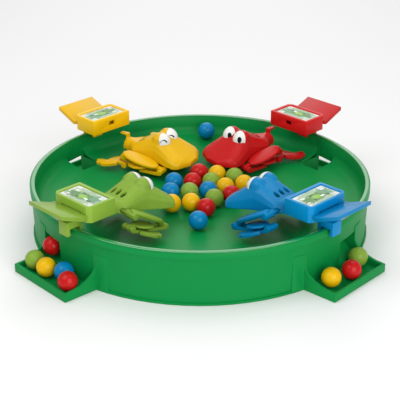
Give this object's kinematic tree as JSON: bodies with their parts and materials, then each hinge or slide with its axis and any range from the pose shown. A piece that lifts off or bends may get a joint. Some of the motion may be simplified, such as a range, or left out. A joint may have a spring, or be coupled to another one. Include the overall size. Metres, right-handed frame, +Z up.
{
  "type": "tabletop marble grabbing game",
  "caption": "Round tabletop game with lever-launched jumping frogs on the rim that drop over marbles in a dished basin, with catch troughs round the outside",
  "frame": {"origin": "centre of the round tray, at the height of the table it stands on", "axes": "+Z up; +Y towards the back of the game as pictured; +X to the right; the launchers stand on the diagonals"},
  "size_m": [0.2768, 0.27, 0.0643],
  "materials": {
    "tray_green": "glossy moulded",
    "plastic_green": "glossy moulded",
    "plastic_blue": "glossy moulded",
    "plastic_yellow": "glossy moulded",
    "plastic_red": "glossy moulded",
    "marble_green": "polished",
    "marble_blue": "polished",
    "marble_yellow": "polished",
    "marble_red": "polished"
  },
  "bodies": {
    "base": {"tray": "tray_green", "housing_green": "plastic_green", "housing_blue": "plastic_blue", "housing_yellow": "plastic_yellow", "housing_red": "plastic_red", "marble_blue_1": "marble_blue", "marble_blue_2": "marble_blue", "marble_yellow_1": "marble_yellow", "marble_green_1": "marble_green", "marble_yellow_2": "marble_yellow", "marble_red_1": "marble_red", "marble_red_2": "marble_red", "marble_green_2": "marble_green", "marble_yellow_3": "marble_yellow", "marble_yellow_4": "marble_yellow", "marble_blue_3": "marble_blue", "marble_green_3": "marble_green", "marble_red_3": "marble_red", "marble_yellow_5": "marble_yellow", "marble_red_4": "marble_red", "marble_blue_4": "marble_blue", "marble_green_4": "marble_green", "marble_blue_5": "marble_blue", "marble_green_5": "marble_green", "marble_green_6": "marble_green", "marble_yellow_6": "marble_yellow", "marble_blue_6": "marble_blue", "marble_red_5": "marble_red", "marble_yellow_7": "marble_yellow", "marble_red_6": "marble_red", "marble_green_7": "marble_green", "marble_red_7": "marble_red"},
    "lever_green": {"lever_green": "plastic_green"},
    "frog_green": {"frog_green": "plastic_green"},
    "thighs_green": {"thighs_green": "plastic_green"},
    "shin_left_green": {"shin_left_green": "plastic_green"},
    "foot_left_green": {"foot_left_green": "plastic_green"},
    "shin_right_green": {"shin_right_green": "plastic_green"},
    "foot_right_green": {"foot_right_green": "plastic_green"},
    "lever_blue": {"lever_blue": "plastic_blue"},
    "frog_blue": {"frog_blue": "plastic_blue"},
    "thighs_blue": {"thighs_blue": "plastic_blue"},
    "shin_left_blue": {"shin_left_blue": "plastic_blue"},
    "foot_left_blue": {"foot_left_blue": "plastic_blue"},
    "shin_right_blue": {"shin_right_blue": "plastic_blue"},
    "foot_right_blue": {"foot_right_blue": "plastic_blue"},
    "lever_yellow": {"lever_yellow": "plastic_yellow"},
    "frog_yellow": {"frog_yellow": "plastic_yellow"},
    "thighs_yellow": {"thighs_yellow": "plastic_yellow"},
    "shin_left_yellow": {"shin_left_yellow": "plastic_yellow"},
    "foot_left_yellow": {"foot_left_yellow": "plastic_yellow"},
    "shin_right_yellow": {"shin_right_yellow": "plastic_yellow"},
    "foot_right_yellow": {"foot_right_yellow": "plastic_yellow"},
    "lever_red": {"lever_red": "plastic_red"},
    "frog_red": {"frog_red": "plastic_red"},
    "thighs_red": {"thighs_red": "plastic_red"},
    "shin_left_red": {"shin_left_red": "plastic_red"},
    "foot_left_red": {"foot_left_red": "plastic_red"},
    "shin_right_red": {"shin_right_red": "plastic_red"},
    "foot_right_red": {"foot_right_red": "plastic_red"}
  },
  "joints": [
    {"name": "press_green", "type": "hinge", "parent": "base", "child": "lever_green", "pos_m": [-0.08804, -0.08804, 0.0556], "axis": [0.7071, -0.7071, 0], "range_deg": [0, 9], "stiffness_Nm_per_rad": 0.03, "springref_deg": -3.44},
    {"name": "leap_green", "type": "slide", "parent": "base", "child": "frog_green", "axis": [0.7044, 0.7044, 0.0872], "range_m": [0, 0.024]},
    {"name": "hip_green", "type": "hinge", "parent": "frog_green", "child": "thighs_green", "pos_m": [-0.06587, -0.06587, 0.04625], "axis": [-0.7071, 0.7071, 0], "range_deg": [0, 9]},
    {"name": "knee_left_green", "type": "hinge", "parent": "thighs_green", "child": "shin_left_green", "pos_m": [-0.06053, -0.029, 0.02797], "axis": [-0.7071, 0.7071, 0], "range_deg": [-8, 0]},
    {"name": "ankle_left_green", "type": "hinge", "parent": "shin_left_green", "child": "foot_left_green", "pos_m": [-0.08378, -0.05224, 0.03665], "axis": [-0.7071, 0.7071, 0], "range_deg": [0, 5]},
    {"name": "knee_right_green", "type": "hinge", "parent": "thighs_green", "child": "shin_right_green", "pos_m": [-0.029, -0.06053, 0.02797], "axis": [-0.7071, 0.7071, 0], "range_deg": [-8, 0]},
    {"name": "ankle_right_green", "type": "hinge", "parent": "shin_right_green", "child": "foot_right_green", "pos_m": [-0.05224, -0.08378, 0.03665], "axis": [-0.7071, 0.7071, 0], "range_deg": [0, 5]},
    {"name": "press_blue", "type": "hinge", "parent": "base", "child": "lever_blue", "pos_m": [0.08804, -0.08804, 0.0556], "axis": [0.7071, 0.7071, 0], "range_deg": [0, 9], "stiffness_Nm_per_rad": 0.03, "springref_deg": -3.44},
    {"name": "leap_blue", "type": "slide", "parent": "base", "child": "frog_blue", "axis": [-0.7044, 0.7044, 0.0872], "range_m": [0, 0.024]},
    {"name": "hip_blue", "type": "hinge", "parent": "frog_blue", "child": "thighs_blue", "pos_m": [0.06587, -0.06587, 0.04625], "axis": [-0.7071, -0.7071, 0], "range_deg": [0, 9]},
    {"name": "knee_left_blue", "type": "hinge", "parent": "thighs_blue", "child": "shin_left_blue", "pos_m": [0.029, -0.06053, 0.02797], "axis": [-0.7071, -0.7071, 0], "range_deg": [-8, 0]},
    {"name": "ankle_left_blue", "type": "hinge", "parent": "shin_left_blue", "child": "foot_left_blue", "pos_m": [0.05224, -0.08378, 0.03665], "axis": [-0.7071, -0.7071, 0], "range_deg": [0, 5]},
    {"name": "knee_right_blue", "type": "hinge", "parent": "thighs_blue", "child": "shin_right_blue", "pos_m": [0.06053, -0.029, 0.02797], "axis": [-0.7071, -0.7071, 0], "range_deg": [-8, 0]},
    {"name": "ankle_right_blue", "type": "hinge", "parent": "shin_right_blue", "child": "foot_right_blue", "pos_m": [0.08378, -0.05224, 0.03665], "axis": [-0.7071, -0.7071, 0], "range_deg": [0, 5]},
    {"name": "press_yellow", "type": "hinge", "parent": "base", "child": "lever_yellow", "pos_m": [-0.08804, 0.08804, 0.0556], "axis": [-0.7071, -0.7071, 0], "range_deg": [0, 9], "stiffness_Nm_per_rad": 0.03, "springref_deg": -3.44},
    {"name": "leap_yellow", "type": "slide", "parent": "base", "child": "frog_yellow", "axis": [0.4455, -0.227, 0.866], "range_m": [0, 0.006]},
    {"name": "hip_yellow", "type": "hinge", "parent": "frog_yellow", "child": "thighs_yellow", "pos_m": [-0.05242, 0.07685, 0.03514], "axis": [0.454, 0.891, 0], "range_deg": [0, 5]},
    {"name": "knee_left_yellow", "type": "hinge", "parent": "thighs_yellow", "child": "shin_left_yellow", "pos_m": [-0.01188, 0.08123, 0.02739], "axis": [0.454, 0.891, 0], "range_deg": [-5, 0]},
    {"name": "ankle_left_yellow", "type": "hinge", "parent": "shin_left_yellow", "child": "foot_left_yellow", "pos_m": [-0.04211, 0.09663, 0.02964], "axis": [0.454, 0.891, 0], "range_deg": [0, 4]},
    {"name": "knee_right_yellow", "type": "hinge", "parent": "thighs_yellow", "child": "shin_right_yellow", "pos_m": [-0.03213, 0.04149, 0.02739], "axis": [0.454, 0.891, 0], "range_deg": [-5, 0]},
    {"name": "ankle_right_yellow", "type": "hinge", "parent": "shin_right_yellow", "child": "foot_right_yellow", "pos_m": [-0.06243, 0.05693, 0.02769], "axis": [0.454, 0.891, 0], "range_deg": [-4, 0]},
    {"name": "press_red", "type": "hinge", "parent": "base", "child": "lever_red", "pos_m": [0.08804, 0.08804, 0.0556], "axis": [-0.7071, 0.7071, 0], "range_deg": [0, 9], "stiffness_Nm_per_rad": 0.03, "springref_deg": -3.44},
    {"name": "leap_red", "type": "slide", "parent": "base", "child": "frog_red", "axis": [0, 0, 1], "range_m": [0, 0.008]},
    {"name": "hip_red", "type": "hinge", "parent": "frog_red", "child": "thighs_red", "pos_m": [0.05114, 0.08587, 0.03514], "axis": [0.6293, -0.7771, 0], "range_deg": [0, 5]},
    {"name": "knee_left_red", "type": "hinge", "parent": "thighs_red", "child": "shin_left_red", "pos_m": [0.03864, 0.04707, 0.02739], "axis": [0.6293, -0.7771, 0], "range_deg": [-5, 0]},
    {"name": "ankle_left_red", "type": "hinge", "parent": "shin_left_red", "child": "foot_left_red", "pos_m": [0.06507, 0.06846, 0.02769], "axis": [0.6293, -0.7771, 0], "range_deg": [-4, 0]},
    {"name": "knee_right_red", "type": "hinge", "parent": "thighs_red", "child": "shin_right_red", "pos_m": [0.01058, 0.08173, 0.02739], "axis": [0.6293, -0.7771, 0], "range_deg": [-5, 0]},
    {"name": "ankle_right_red", "type": "hinge", "parent": "shin_right_red", "child": "foot_right_red", "pos_m": [0.03694, 0.10307, 0.02964], "axis": [0.6293, -0.7771, 0], "range_deg": [0, 4]}
  ],
  "couplings": [
    {"joint": "hip_green", "follows": "leap_green", "rad_per_m": 6.544},
    {"joint": "knee_left_green", "follows": "leap_green", "rad_per_m": -5.817},
    {"joint": "ankle_left_green", "follows": "leap_green", "rad_per_m": 3.636},
    {"joint": "knee_right_green", "follows": "leap_green", "rad_per_m": -5.817},
    {"joint": "ankle_right_green", "follows": "leap_green", "rad_per_m": 3.636},
    {"joint": "hip_blue", "follows": "leap_blue", "rad_per_m": 6.544},
    {"joint": "knee_left_blue", "follows": "leap_blue", "rad_per_m": -5.817},
    {"joint": "ankle_left_blue", "follows": "leap_blue", "rad_per_m": 3.636},
    {"joint": "knee_right_blue", "follows": "leap_blue", "rad_per_m": -5.817},
    {"joint": "ankle_right_blue", "follows": "leap_blue", "rad_per_m": 3.636},
    {"joint": "hip_yellow", "follows": "leap_yellow", "rad_per_m": 14.544},
    {"joint": "knee_left_yellow", "follows": "leap_yellow", "rad_per_m": -14.544},
    {"joint": "ankle_left_yellow", "follows": "leap_yellow", "rad_per_m": 11.635},
    {"joint": "knee_right_yellow", "follows": "leap_yellow", "rad_per_m": -14.544},
    {"joint": "ankle_right_yellow", "follows": "leap_yellow", "rad_per_m": -11.635},
    {"joint": "hip_red", "follows": "leap_red", "rad_per_m": 10.908},
    {"joint": "knee_left_red", "follows": "leap_red", "rad_per_m": -10.908},
    {"joint": "ankle_left_red", "follows": "leap_red", "rad_per_m": -8.726},
    {"joint": "knee_right_red", "follows": "leap_red", "rad_per_m": -10.908},
    {"joint": "ankle_right_red", "follows": "leap_red", "rad_per_m": 8.726}
  ]
}
